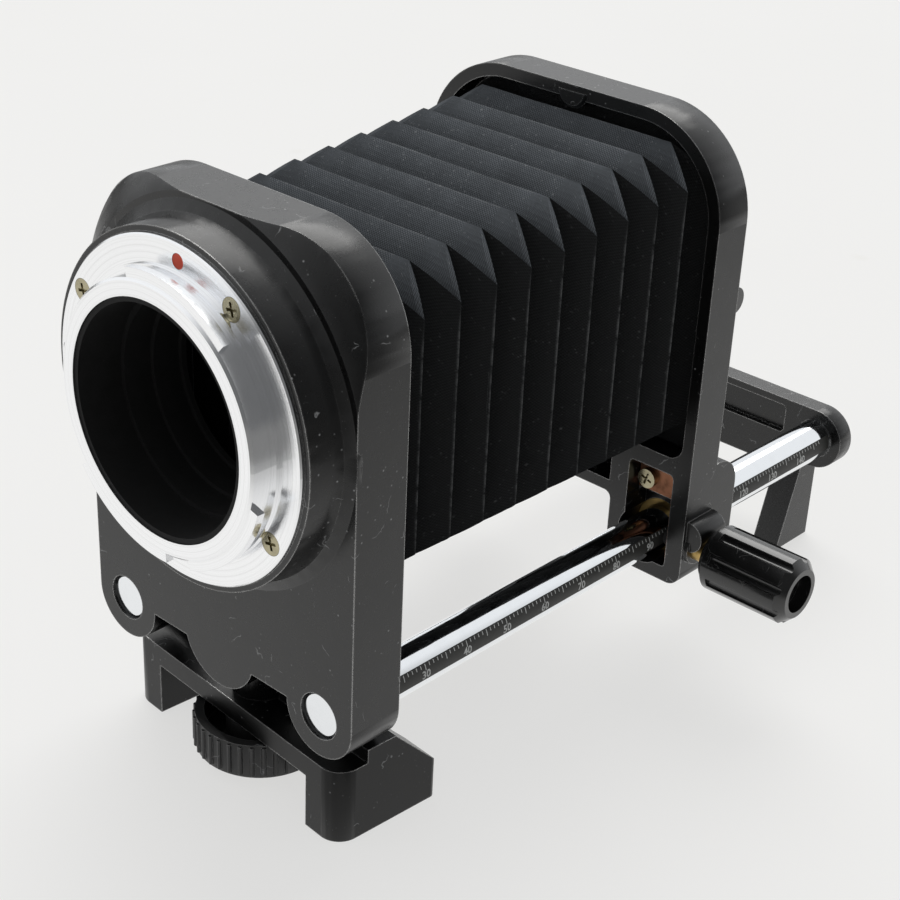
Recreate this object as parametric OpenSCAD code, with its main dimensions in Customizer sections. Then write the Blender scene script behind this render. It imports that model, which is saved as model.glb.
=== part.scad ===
// Macro bellows unit: a fixed camera standard and a sliding lens standard on two round rails,
// joined by a pleated cloth bellows, with a clamp foot in front and an end block behind.
// X runs across, Y along the rails from the camera side to the lens side, Z up.
// The origin is the centre of the camera mount's flange face, on the optical axis.

/* [Rails] */
// Half the distance between the two rail axes
rail_x = 24; // [22:0.2:26]
// Depth of the rail axes below the optical axis
rail_drop = 47; // [45:0.2:50]
// Radius of a rail
rail_r = 4; // [3.5:0.1:4.5]
// Front face of the end block, which sets the length of the rails
end_y = 149.2; // [140:0.2:170]

/* [Camera mount] */
// Radius of the clear throat
throat_r = 19.5; // [19:0.25:20.25]
// Width of the flange ring round the throat
ring_band = 8.5; // [8.3:0.1:8.8]
// Thickness of the flange ring
ring_t = 1.8; // [1.4:0.1:2]
// How deep the ring sits in its boss
ring_seat = 1.1; // [0.8:0.1:1.2]
// Thickness of the bayonet collar's wall
collar_t = 2.8; // [2.6:0.1:3]
// Height of the collar in front of the flange
collar_h = 4.2; // [3.8:0.1:5]
// How far the bayonet lugs stand out from the collar
lug_reach = 1.6; // [1.4:0.1:1.8]
// Thickness of a bayonet lug
lug_t = 1.4; // [1:0.1:1.6]
// Angle that one lug covers
lug_span = 56; // [40:1:70]
// Distance of the ring screws from the throat's edge
screw_in = 5.8; // [5.6:0.1:6]
// Angle of the first ring screw from the X axis
screw_turn = 58; // [50:1:65]

/* [Camera standard] */
// Width of the plate
plate_w = 62.8; // [61:0.2:67]
// Thickness of the plate
plate_t = 10.6; // [10:0.1:13]
// Front face of the plate behind the flange
plate_y = 7.7; // [7:0.1:9]
// Top of the plate above the optical axis
plate_top = 31.9; // [31:0.1:36]
// Radius of the plate's top corners
plate_corner = 18; // [12:0.5:20]
// Wall of the round boss outside the flange ring
boss_wall = 1.1; // [1:0.1:2]
// Depth of the scoop in the two upper corners
scoop_d = 3; // [1:0.5:4]

/* [Bellows] */
// Number of pleats
pleats = 10; // [7:1:12]
// Half width at a side ridge, at the camera end
side_ridge = 28; // [27:0.2:28.6]
// Half width at a side valley, at the camera end
side_valley = 20.8; // [20:0.2:23]
// How much wider the bellows is at the lens end, on each side
cloth_flare = 0.8; // [0:0.1:1]
// Height of the top ridges above the optical axis, at the camera end
cloth_top = 22.8; // [22:0.2:24]
// Rise of the top ridges towards the lens end
cloth_rise = 6.4; // [0:0.2:6.6]
// Depth of the bottom ridges below the optical axis
cloth_low = 28; // [27:0.2:28.4]
// Step from a top ridge down to a top valley
pleat_d = 4.7; // [3.5:0.1:5.4]
// Step from a top ridge down to the upper end of a side ridge
edge_drop = 5.8; // [5.4:0.1:8]
// Half width of a top valley's straight part
top_straight = 17.5; // [17:0.5:19.5]
// Thickness of the folded cloth, measured across the bellows
cloth_t = 0.8; // [0.6:0.1:1]

/* [Lens standard] */
// Front face of the frame, with the bellows drawn out as in use
frame_y = 90.4; // [84:0.1:92]
// Depth of the frame
frame_t = 8.2; // [7.6:0.1:10]
// Width of the frame
frame_w = 67.2; // [66.6:0.2:72]
// Top of the frame above the optical axis
frame_top = 33.9; // [33.5:0.1:38]
// Radius of the frame's top corners
frame_corner = 18; // [14:0.5:18.5]
// Thickness of the rim round the bellows' end
rim_t = 2.4; // [2:0.1:2.6]
// Depth of the recess inside the rim
recess_d = 5.2; // [4.6:0.1:5.4]
// Lower edge of the legs below the optical axis
leg_drop = 54.2; // [53.6:0.2:57]
// Inner side of a leg
leg_in = 16.2; // [14.6:0.2:16.8]
// Height of the gap between the legs, below the optical axis
arch_drop = 40.8; // [40:0.2:42]
// Radius of the arch's corners
arch_r = 1.5; // [1:0.5:4]
// Length of the bearing behind the frame
bearing_l = 6.8; // [6:0.2:9]
// Top of the bearing below the optical axis
bearing_drop = 31; // [29:0.5:33]

/* [Lens mount] */
// How much wider the lens mount's bore is than the throat, on each side
bore_step = 3.1; // [2.8:0.1:3.3]
// How far the lens mount's lugs stand into its bore
lens_lug = 1.6; // [1.2:0.1:1.8]
// Height of the rear boss behind the frame
rear_boss_h = 6; // [5:0.5:9]

/* [Slide and lock] */
// Gap all round a rail inside its bush
rail_fit = 0.05; // [0.03:0.01:0.08]
// Thickness of a bush's wall
bush_t = 1.2; // [1:0.1:1.4]
// Distance of the lock screw's axis behind the frame's front
lock_y = 3.6; // [3.5:0.1:4.2]
// Depth of the lock screw's axis below the optical axis
lock_drop = 46.3; // [45.6:0.1:47.2]
// Radius of the lock screw
lock_screw_r = 2.4; // [2:0.1:2.6]
// Radius of the lock knob
knob_r = 6.3; // [6:0.1:7.5]
// Length of the lock knob
knob_l = 18.6; // [16:0.2:24]
// Number of flats and grooves round the knob
knob_lobes = 8; // [6:1:10]

/* [Foot and clamp] */
// Angle that the foot stands turned on its clamp
foot_turn = 4; // [-5:0.5:5]
// Floor below the optical axis
floor_drop = 71.6; // [71:0.2:78]
// Half width of the foot
foot_x = 28.4; // [27.6:0.2:31]
// Width of one leg of the foot
foot_leg = 8; // [6:0.5:9]
// Front of the foot behind the flange
foot_y = 10.3; // [10:0.1:11.4]
// Length of the foot along the rails
foot_l = 21.8; // [21:0.2:26]
// Thickness of the foot's bar
bar_t = 4; // [3.4:0.2:4.4]
// Gap between the plate's lobes and the foot's bar
bar_gap = 3.1; // [2.4:0.1:3.6]
// Distance of the clamp axis behind the flange
clamp_y = 17.1; // [16.6:0.1:17.6]
// Radius of the clamp boss
clamp_boss_r = 5; // [4.6:0.1:5.4]
// Radius of the clamp screw
clamp_screw_r = 3; // [2.6:0.1:3.4]
// Radius of the thumb wheel
wheel_r = 11.9; // [11:0.1:13]
// Height of the thumb wheel
wheel_h = 6.6; // [6.2:0.1:6.8]
// Number of ribs on the thumb wheel
wheel_ribs = 36; // [24:2:44]
// Radius of the tripod socket in the thumb wheel
tripod_r = 3.175; // [2.6:0.025:3.175]
// Depth of the tripod socket
tripod_l = 5.4; // [4.6:0.1:5.8]

/* [End block] */
// Radius of the block's round ends
end_r = 6.4; // [6:0.1:8]
// Thickness of the block
end_t = 4.2; // [4:0.1:6]
// Half width over the block's legs
end_x = 23; // [22:0.5:28]
// Width of one leg
end_leg = 6; // [4:0.5:8]
// How far a leg's toe reaches forward
toe = 6.8; // [5:0.2:14]

/* [Hidden] */
$fn = 96;

cast_black = [0.05, 0.05, 0.055];
satin_black = [0.08, 0.08, 0.085];
cloth_black = [0.1, 0.1, 0.11];
bright_metal = [0.86, 0.87, 0.88];
brass = [0.72, 0.58, 0.3];
copper = [0.62, 0.36, 0.24];
red = [0.8, 0.15, 0.1];

overcut = 0.5;
fit = 0.05;
seat_gap = 0.3;

rail_z = -rail_drop;
floor_z = -floor_drop;
plate_back = plate_y + plate_t;
lobe_r = plate_w / 2 - rail_x;
boss_face = ring_t - ring_seat;
ring_r = throat_r + ring_band;
collar_r = throat_r + collar_t;
lug_r = collar_r + lug_reach;
screw_circle_r = throat_r + screw_in;
boss_r = ring_r + boss_wall;

// the bellows' ends sit in shallow recesses of the two standards
cloth_recess = 2.6;
retainer_t = 0.8;
cloth_y0 = plate_back - cloth_recess + retainer_t;
frame_back = frame_y + frame_t;
recess_floor = frame_y + recess_d;
shoulder_z = -cloth_low - 0.6;
cloth_y1 = recess_floor - retainer_t;
folds = 2 * pleats;
fold_l = (cloth_y1 - cloth_y0) / folds;

// ring screws: cone head flush with the ring
ring_screw_r = 1;
ring_screw_head = 1.9;
ring_screw_l = 6;
screw_angles = [for (i = [0:3]) screw_turn + 90 * i];
lug_turns = [20, 190, 260];

bush_r = rail_r + rail_fit + bush_t;
bearing_back = frame_back + bearing_l;

// pocket in the front of each leg: a shallow part over a deep one
pocket_x0 = rail_x - 4.1;
pocket_x1 = rail_x + bush_r + 0.7;
pocket_back = frame_y + 6.3;
ledge_back = frame_y + 4;
pocket_top = rail_z + 15;
pocket_step = rail_z + 7.6;
pocket_bottom = -leg_drop + 3;
leg_corner = 3;
rear_face = frame_back + rear_boss_h;
lens_face = rear_face + ring_seat;
lens_bore_r = throat_r + bore_step;
button_y = rear_face - 3.3;
button_r = 2.5;
button_x = boss_r - 2.2;
leaf_t = 0.6;
tail_x = pocket_x1 - 0.3;
lock_z = -lock_drop;
knob_x0 = frame_w / 2 + 4.8;
knob_hold = 8;
lock_axis_y = frame_y + lock_y;

lobe_bottom = rail_z - lobe_r;
deck_z = lobe_bottom - bar_gap;
bar_z = deck_z - bar_t;
wheel_top = bar_z - 0.6;
wheel_z = wheel_top - wheel_h;
foot_back = foot_y + foot_l;
deck_top = lobe_bottom - 0.5;

clamp_reach = 9.5;

rail_front = plate_y + 0.6;
end_back = end_y + end_t;
rail_end = end_y + 2.6;

// ---- helpers ----

// A flat outline in X and Z, given depth h along Y from y0
module slab(y0, h) {
    translate([0, y0 + h, 0]) rotate([90, 0, 0]) linear_extrude(h) children();
}

// A flat outline in Y and Z, given width w along X from x0
module side_slab(x0, w) {
    translate([x0, 0, 0]) rotate([90, 0, 90]) linear_extrude(w) children();
}

// A round bar along Y
module bar_y(r, y0, h) {
    translate([0, y0, 0]) rotate([-90, 0, 0]) cylinder(r = r, h = h);
}

// A round bar along X
module bar_x(r, x0, h) {
    translate([x0, 0, 0]) rotate([0, 90, 0]) cylinder(r = r, h = h);
}

// Turns a profile of [radius, y] points round the optical axis
module turned(points, angle = 360) {
    rotate([-90, 0, 0]) rotate_extrude(angle = angle) polygon(points);
}

// A rectangle from corner to corner with a radius on each pair of corners
module round_rect(x0, z0, x1, z1, r_low, r_high) {
    translate([x0 + r_low, z0]) square([x1 - x0 - 2 * r_low, z1 - z0 - r_high]);
    translate([x0 + r_high, z0 + r_low]) square([x1 - x0 - 2 * r_high, z1 - z0 - r_low]);
    translate([x0, z0 + r_low]) square([x1 - x0, z1 - z0 - r_low - r_high]);
    for (x = [x0 + r_low, x1 - r_low]) translate([x, z0 + r_low]) circle(r_low);
    for (x = [x0 + r_high, x1 - r_high]) translate([x, z1 - r_high]) circle(r_high);
}

module at_rails() {
    for (side = [-1, 1]) translate([side * rail_x, 0, rail_z]) children();
}

// ---- camera side, fixed ----

// The plate seen from the front: round top corners, a lobe round each rail, a bulge over the clamp
module plate_outline() {
    bulge_r = 8.5;
    round_rect(-plate_w / 2, rail_z, plate_w / 2, plate_top, 0.01, plate_corner);
    for (side = [-1, 1]) translate([side * rail_x, rail_z]) circle(lobe_r);
    translate([0, rail_z + bulge_r * 0.3]) circle(bulge_r);
}

module camera_standard() {
    fillet = 2.4;
    scoop_r = boss_r + 3.5;
    scoop_run = 4.5;
    color(cast_black) difference() {
        union() {
            slab(plate_y, plate_t) plate_outline();
            bar_y(boss_r, boss_face, plate_y - boss_face + 1);
            turned([[boss_r - 1, plate_y - fillet], [boss_r, plate_y - fillet],
                [boss_r + 0.6, plate_y - 0.9], [boss_r + fillet, plate_y],
                [boss_r + fillet, plate_y + 1], [boss_r - 1, plate_y + 1]]);
            translate([0, clamp_y, deck_z]) cylinder(r = clamp_boss_r, h = rail_z - deck_z);
        }
        // the upper corners are scooped out round the boss
        rotate([0, -180, 0]) turned([[scoop_r, plate_y - overcut], [scoop_r, plate_y],
            [scoop_r + scoop_run, plate_y + scoop_d], [60, plate_y + scoop_d],
            [60, plate_y - overcut]], angle = 180);
        bar_y(ring_r + fit, boss_face - overcut, ring_seat + overcut);
        bar_y(throat_r + fit, 0, plate_back + 1);
        for (a = screw_angles) rotate([0, -a, 0]) translate([screw_circle_r, 0, 0])
            bar_y(ring_screw_r + fit, 0, ring_screw_l + 1);
        at_rails() bar_y(rail_r + fit, plate_y - 1, plate_t + 2);
        slab(plate_back - cloth_recess, cloth_recess + 1)
            round_rect(-side_ridge - 1, -cloth_low - 0.8, side_ridge + 1, cloth_top + 0.8, 2, 2);
        translate([0, clamp_y, deck_z - 1]) cylinder(r = clamp_screw_r + fit, h = clamp_reach + 2);
    }
}

// A third of a bayonet lug ring, turned to its place
module lugs(r0, r1, y0, t) {
    for (a = lug_turns) rotate([0, -a, 0])
        rotate([0, -lug_span / 2, 0]) rotate([-90, 0, 0]) rotate_extrude(angle = -lug_span)
            translate([r0, y0]) square([r1 - r0, t]);
}

module ring_screw_holes(y, way) {
    for (a = screw_angles) rotate([0, -a, 0]) translate([screw_circle_r, y, 0])
        rotate([way * -90, 0, 0]) {
            translate([0, 0, -overcut]) cylinder(r = ring_screw_r + fit, h = 4);
            translate([0, 0, -overcut]) cylinder(r = ring_screw_head + fit, h = overcut + 1);
        }
}

// The index dot stands a little to the right of the top
module dot_place() {
    rotate([0, -86, 0]) translate([screw_circle_r, 0, 0]) children();
}

module mount_ring() {
    root_h = 0.6;
    lock_hole_r = 1.3;
    color(bright_metal) difference() {
        union() {
            turned([[throat_r, -collar_h], [collar_r - 0.4, -collar_h],
                [collar_r, -collar_h + 0.4], [collar_r, -root_h], [collar_r + 1.2, -root_h],
                [collar_r + 1.2, 0], [ring_r - 0.25, 0], [ring_r, 0.25], [ring_r, ring_t],
                [throat_r, ring_t]]);
            lugs(collar_r - 0.5, lug_r, -collar_h + 0.4, lug_t);
        }
        ring_screw_holes(0, 1);
        dot_place() bar_y(1.25, -overcut, overcut + 0.5);
        translate([2 - ring_r, 0, 2]) bar_y(lock_hole_r, -1, ring_t + 2);
    }
}

// A countersunk ring screw with a cross recess, its axis on the local Z, pointing down from its head
module countersunk_screw(r, head_r, head_t, l) {
    color(brass) difference() {
        union() {
            cylinder(r = head_r, h = head_t);
            cylinder(r = r, h = l);
        }
        for (a = [45, 135]) rotate(a) translate([-head_r * 0.6, -0.25, -1])
            cube([head_r * 1.2, 0.5, 1.5]);
    }
}

module mount_screw(i) {
    rotate([0, -screw_angles[i], 0]) translate([screw_circle_r, 0, 0])
        rotate([-90, 0, 0]) countersunk_screw(ring_screw_r, ring_screw_head, 1, ring_screw_l);
}

module index_dot() {
    color(red) dot_place() bar_y(1.2, 0.05, 0.45);
}

// Black stepped sleeve that lines the throat
module light_baffle() {
    back = plate_back - cloth_recess;
    wall = 0.9;
    color(satin_black) turned([[throat_r - fit, -collar_h + 0.3], [throat_r - fit, back],
        [throat_r - 3.4, back], [throat_r - 3.4, back - 1], [throat_r - 2.6, back - 1],
        [throat_r - 2.6, 9.6], [throat_r - 1.8, 9.6], [throat_r - 1.8, 4.4],
        [throat_r - wall, 4.4], [throat_r - wall, -collar_h + 0.3]]);
}

// Thin frame that holds an end of the cloth
module retainer(y0, half_w, low, high, corner, hole_w, hole_low, hole_high) {
    color(satin_black) slab(y0, retainer_t) difference() {
        round_rect(-half_w, low, half_w, high, 2, corner);
        round_rect(-hole_w, hole_low, hole_w, hole_high, 3, 3);
    }
}

module front_retainer() {
    retainer(plate_back - cloth_recess, side_ridge + 0.8, -cloth_low - 0.6, cloth_top + 0.6, 2,
        side_valley - 1, -cloth_low + pleat_d + 1.5, cloth_top - pleat_d - 1.5);
}

// One ring of the cloth at fold i, moved in by d: top ridges stand where the sides have a valley
function cloth_ring(i, d) =
    let (is_top = i % 2 == 1,
         way = i / folds,
         flare = cloth_flare * way - d,
         high = cloth_top + cloth_rise * way - d,
         low = -cloth_low + d,
         w = (is_top ? side_valley : side_ridge) + flare,
         t = top_straight + flare,
         side = is_top ? 0 : edge_drop,
         fold = is_top ? 0 : pleat_d,
         corners = [[w, low + side], [w, high - side], [t, high - fold], [-t, high - fold],
             [-w, high - side], [-w, low + side], [-t, low + fold], [t, low + fold]])
    [for (c = corners) [c[0], cloth_y0 + i * fold_l, c[1]]];

module bellows() {
    n = 8;
    outer = [for (i = [0:folds]) each cloth_ring(i, 0)];
    inner = [for (i = [0:folds]) each cloth_ring(i, cloth_t)];
    // each panel is split from a top ridge's corner to the side ridge's end
    skin = [for (i = [0:folds - 1], k = [0:n - 1])
        let (a = n * i + k, b = n * i + (k + 1) % n, slant = (i + k) % 2 == 1)
        each slant ? [[a, b, b + n], [a, b + n, a + n]] : [[a, b, a + n], [b, b + n, a + n]]];
    m = n * (folds + 1);
    lining = [for (f = skin) [f[2] + m, f[1] + m, f[0] + m]];
    front = [for (k = [0:n - 1]) let (a = k, b = (k + 1) % n)
        each [[a, a + m, b + m], [a, b + m, b]]];
    last = n * folds;
    back = [for (k = [0:n - 1]) let (a = last + k, b = last + (k + 1) % n)
        each [[a, b + m, a + m], [a, b, b + m]]];
    color(cloth_black) polyhedron(concat(outer, inner), concat(skin, lining, front, back));
}

// ---- rails, foot, clamp and end block ----

module rail(side) {
    chamfer = 0.4;
    color(bright_metal) translate([side * rail_x, 0, rail_z]) difference() {
        turned([[0, rail_front], [rail_r - chamfer, rail_front], [rail_r, rail_front + chamfer],
            [rail_r, rail_end], [0, rail_end]]);
        bar_y(1.5, rail_end - 9, 9 + overcut);
    }
}

// Side profile of the foot: a low bar in front, a raised deck behind it, a sloped back
module foot_profile() {
    step_y = plate_back - 1.6;
    slope = 9.4;
    polygon([[foot_y, floor_z], [foot_y, deck_z], [step_y, deck_z], [step_y, deck_top],
        [foot_back - slope, deck_top], [foot_back, deck_top - slope], [foot_back, floor_z]]);
}

// The foot from above, with round vertical corners
module foot_plan() {
    corner = 4;
    translate([-foot_x + corner, foot_y]) square([2 * (foot_x - corner), foot_l]);
    translate([-foot_x, foot_y + corner]) square([2 * foot_x, foot_l - corner - 1]);
    for (side = [-1, 1]) {
        translate([side * (foot_x - corner), foot_y + corner]) circle(corner);
        translate([side * (foot_x - 1), foot_back - 1]) circle(1);
    }
    translate([-foot_x + 1, foot_back - 2]) square([2 * foot_x - 2, 2]);
}

module foot_bracket() {
    inner_x = foot_x - foot_leg;
    color(cast_black) translate([0, clamp_y, 0]) rotate(-foot_turn) translate([0, -clamp_y, 0])
        difference() {
            intersection() {
                side_slab(-foot_x, 2 * foot_x) foot_profile();
                translate([0, 0, floor_z]) linear_extrude(floor_drop) foot_plan();
            }
            // the space between the legs, under the bar
            translate([-inner_x, foot_y - 1, floor_z - 1])
                cube([2 * inner_x, foot_l + 2, bar_z - floor_z + 1]);
            // room for the clamp boss and its screw
            translate([0, clamp_y, deck_z]) cylinder(r = clamp_boss_r + seat_gap, h = 20);
            translate([0, clamp_y, bar_z - 1]) cylinder(r = clamp_screw_r + fit, h = bar_t + 2);
        }
}

module clamp_washer() {
    color(bright_metal) translate([0, clamp_y, wheel_top]) difference() {
        cylinder(r = 6, h = bar_z - wheel_top);
        translate([0, 0, -1]) cylinder(r = clamp_screw_r + fit, h = 3);
    }
}

// Threaded stud of the thumb wheel, up into the clamp boss
module clamp_screw() {
    reach = deck_z + clamp_reach - wheel_z - tripod_l;
    color(bright_metal) translate([0, clamp_y, wheel_z + tripod_l + 0.2])
        cylinder(r = clamp_screw_r, h = reach);
}

module thumb_wheel() {
    wall = 1.6;
    web = 1.8;
    hub_r = tripod_r + 3;
    rib_r = wheel_r * PI / wheel_ribs * 0.42;
    color(satin_black) translate([0, clamp_y, wheel_z]) difference() {
        union() {
            difference() {
                cylinder(r = wheel_r - rib_r, h = wheel_h);
                translate([0, 0, web]) cylinder(r = wheel_r - wall - rib_r, h = wheel_h);
            }
            cylinder(r = hub_r, h = wheel_h);
            for (i = [0:wheel_ribs - 1]) rotate(i * 360 / wheel_ribs)
                translate([wheel_r - rib_r, 0, 0.4]) cylinder(r = rib_r, h = wheel_h - 0.8, $fn = 8);
        }
        translate([0, 0, -1]) cylinder(r = tripod_r + 1.4, h = tripod_l + 1);
        translate([0, 0, tripod_l - 1]) cylinder(r = clamp_screw_r, h = wheel_h);
    }
}

module tripod_insert() {
    color(brass) translate([0, clamp_y, wheel_z]) difference() {
        cylinder(r = tripod_r + 1.4, h = tripod_l);
        translate([0, 0, -1]) cylinder(r = tripod_r, h = tripod_l + 2);
    }
}

// Legs with a sloped front edge under a plate with two round ends
module end_block() {
    web_drop = 9;
    pocket_h = 6.4;
    pocket_d = 1.4;
    pocket_x = rail_x - 7.5;
    shelf = 1.8;
    color(cast_black) difference() {
        union() {
            slab(end_y, end_t) {
                for (side = [-1, 1]) translate([side * rail_x, rail_z]) circle(end_r);
                translate([-rail_x, rail_z - end_r]) square([2 * rail_x, 2 * end_r]);
                translate([-end_x, rail_z - end_r - web_drop])
                    square([2 * end_x, web_drop + end_r]);
            }
            for (x = [-end_x, end_x - end_leg]) side_slab(x, end_leg)
                polygon([[end_y + 0.5, rail_z - end_r + 1], [end_y - shelf, rail_z - end_r - 0.6],
                    [end_y - toe, floor_z + 0.6], [end_y - toe + 0.5, floor_z],
                    [end_back, floor_z], [end_back, rail_z - end_r + 1]]);
        }
        at_rails() bar_y(rail_r + fit, end_y - 1, rail_end - end_y + 1);
        at_rails() bar_y(1.55, end_y, end_t + 1);
        at_rails() bar_y(2.85, end_back - 0.8, 2);
        slab(end_y - 1, 1 + pocket_d)
            round_rect(-pocket_x, rail_z - end_r + 5, pocket_x, rail_z + end_r - 1.6, 1, 1);
        slab(end_y - 1, end_t + 2) round_rect(-end_x + end_leg + 1.5, floor_z - 2,
            end_x - end_leg - 1.5, rail_z - end_r - 3, 0.5, 3);
    }
}

module end_screw(side) {
    translate([side * rail_x, end_back, rail_z]) rotate([90, 0, 0])
        countersunk_screw(1.45, 2.8, 0.8, 9);
}

// ---- lens side, sliding on the rails ----

// The upright frame from the front: large round top corners, two legs with an arch between them
module frame_outline() {
    half = frame_w / 2;
    difference() {
        round_rect(-half, -leg_drop, half, frame_top, leg_corner, frame_corner);
        round_rect(-leg_in, -leg_drop - 20, leg_in, -arch_drop, 1, arch_r);
    }
}

// A bearing block behind one leg, round at its upper back edge
module bearing(side) {
    round_r = 6;
    x0 = leg_in;
    w = frame_w / 2 - x0;
    translate([side < 0 ? -x0 - w : x0, 0, 0]) side_slab(0, w) {
        translate([frame_back - 1, -leg_drop]) square([bearing_l + 1 - round_r, leg_drop - bearing_drop]);
        translate([frame_back - 1, -leg_drop]) square([bearing_l + 1, leg_drop - bearing_drop - round_r]);
        translate([bearing_back - round_r, -bearing_drop - round_r]) circle(round_r);
    }
}

module lens_standard() {
    lug_bar_r = 3;
    inner = frame_w / 2 - rim_t;
    color(cast_black) difference() {
        union() {
            slab(frame_y, frame_t) frame_outline();
            intersection() {
                for (side = [-1, 1]) bearing(side);
                slab(frame_back - 2, bearing_l + 4)
                    round_rect(-frame_w / 2, -leg_drop, frame_w / 2, 0, leg_corner, 1);
            }
            bar_y(boss_r, frame_back - 1, rear_boss_h + 1);
            // rounded lug along the right leg, and the lock screw's boss under it
            translate([frame_w / 2 + 0.4, 0, lock_z + 2.9])
                bar_y(lug_bar_r, frame_y + 0.8, frame_t - 0.6);
            translate([0, lock_axis_y, lock_z])
                bar_x(lock_screw_r + 1, frame_w / 2 - 2, 3);
        }
        // recess for the bellows' end, drawn down between the legs
        slab(frame_y - 1, 1 + recess_d) {
            round_rect(-inner, shoulder_z, inner, frame_top - rim_t, 3, frame_corner - rim_t);
            translate([-leg_in + 0.5, -arch_drop + rim_t])
                square([2 * leg_in - 1, arch_drop - rim_t]);
        }
        bar_y(lens_bore_r + 1.1, recess_floor - 1, rear_face - recess_floor + 2);
        bar_y(ring_r + fit, rear_face - ring_t + ring_seat, 4);
        for (a = screw_angles) rotate([0, -a, 0]) translate([screw_circle_r, 0, 0])
            bar_y(ring_screw_r + fit, rear_face - ring_screw_l, ring_screw_l + 4);
        // rails and their bushes
        at_rails() bar_y(bush_r + fit, frame_y - 1, bearing_back - frame_y + 2);
        // a pocket in the front of each leg, where the brake sits
        for (side = [-1, 1]) mirror([side < 0 ? 1 : 0, 0, 0]) {
            slab(frame_y - 1, 1 + ledge_back - frame_y)
                round_rect(pocket_x0, pocket_step - 1, pocket_x1, pocket_top, 0.8, 1);
            slab(frame_y - 1, 1 + pocket_back - frame_y)
                round_rect(pocket_x0, pocket_bottom, pocket_x1, pocket_step, 0.8, 0.8);
        }
        translate([0, lock_axis_y, lock_z]) bar_x(lock_screw_r + fit, rail_x, frame_w / 2);
        brake_screw_place() bar_y(1.05, -1, 6);
        // bore of the locking pin and of the button that draws it back
        lock_pin_place() bar_y(1.06, rear_face - 4, 6);
        translate([0, button_y, 0]) bar_x(button_r + 0.1, button_x - 2, 8);
    }
}

module rear_retainer() {
    high = cloth_top + cloth_rise;
    edge = rim_t + 0.4;
    retainer(cloth_y1, frame_w / 2 - edge, shoulder_z + 0.4, frame_top - edge, frame_corner - edge,
        side_ridge - 2, -cloth_low + pleat_d + 1.5, high - pleat_d - 1.5);
}

// Ring with an inward bayonet for the lens
module lens_mount() {
    back = lens_face;
    color(bright_metal) difference() {
        union() {
            turned([[lens_bore_r, back - ring_t], [lens_bore_r, back - 0.3],
                [lens_bore_r + 0.3, back], [ring_r - 0.25, back], [ring_r, back - 0.25],
                [ring_r, back - ring_t]]);
            lugs(lens_bore_r - lens_lug, lens_bore_r + 0.5, back - ring_t, 1.2);
        }
        ring_screw_holes(back, -1);
        lock_pin_place() bar_y(1.06, back - 4, 6);
    }
}

module lens_screw(i) {
    rotate([0, -screw_angles[i], 0]) translate([screw_circle_r, lens_face, 0])
        rotate([90, 0, 0]) countersunk_screw(ring_screw_r, ring_screw_head, 1, ring_screw_l);
}

// The locking pin stands 20 degrees below the button
module lock_pin_place() {
    rotate([0, 20, 0]) translate([screw_circle_r, 0, 0]) children();
}

module lock_pin() {
    color(bright_metal) lock_pin_place() bar_y(1, rear_face - 1.6, lens_face - rear_face + 3.2);
}

module release_button() {
    color(satin_black) translate([0, button_y, 0]) bar_x(button_r, button_x, 4.6);
}

module bush(side) {
    l = bearing_back - pocket_back;
    color(brass) translate([side * rail_x, 0, rail_z]) difference() {
        bar_y(bush_r, pocket_back, l);
        bar_y(rail_r + rail_fit, pocket_back - 1, l + 2);
    }
}

// The brake screw's head seat, near the left end of the tab
module brake_screw_place() {
    translate([pocket_x0 + 2.4, ledge_back - leaf_t, pocket_top - 4.4]) children();
}

// Sprung leaf: a tab on the pocket's back wall and a tail beside the rail
module brake_leaf() {
    top = pocket_top - 0.3;
    tab_h = 6.6;
    tail_y = lock_axis_y - 2.3;
    color(copper) difference() {
        union() {
            translate([pocket_x0 + 0.2, ledge_back - leaf_t, top - tab_h])
                cube([tail_x - pocket_x0 - 0.2, leaf_t, tab_h]);
            translate([tail_x - leaf_t, tail_y, pocket_bottom + 0.6])
                cube([leaf_t, ledge_back - tail_y, top - pocket_bottom - 0.6]);
        }
        brake_screw_place() bar_y(1.05, -1, 3);
    }
}

module brake_screw() {
    color(brass) brake_screw_place() difference() {
        union() {
            bar_y(1, 0, 5);
            bar_y(1.9, -1, 1);
        }
        for (a = [20, 110]) rotate([0, a, 0]) translate([-1.2, -1.5, -0.25])
            cube([2.4, 1, 0.5]);
    }
}

// Pad between the leaf's tail and the rail
module brake_pad() {
    x0 = rail_x + rail_r + 0.1;
    color(satin_black) translate([0, lock_axis_y, lock_z])
        bar_x(lock_screw_r - 0.3, x0, tail_x - leaf_t - x0);
}

module lock_screw() {
    color(brass) translate([0, lock_axis_y, lock_z])
        bar_x(lock_screw_r, tail_x + 0.1, knob_x0 + knob_hold - tail_x - 0.1);
}

// Fluted barrel with a chamfered, hollow end
module lock_knob() {
    flute_r = 1.1;
    chamfer = 1.6;
    cup_r = 3.6;
    color(satin_black) translate([knob_x0, lock_axis_y, lock_z]) rotate([0, 90, 0]) difference() {
        rotate_extrude() polygon([[0, 0], [knob_r - 1.2, 0], [knob_r, 1.2],
            [knob_r, knob_l - chamfer], [knob_r - chamfer, knob_l], [0, knob_l]]);
        for (i = [0:knob_lobes - 1]) rotate((i + 0.5) * 360 / knob_lobes)
            translate([knob_r + 0.35, 0, 2.4]) cylinder(r = flute_r, h = knob_l);
        translate([0, 0, knob_l - 2.6]) cylinder(r = cup_r, h = 3);
        translate([0, 0, -1]) cylinder(r = lock_screw_r, h = knob_hold + 1);
    }
}

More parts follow.
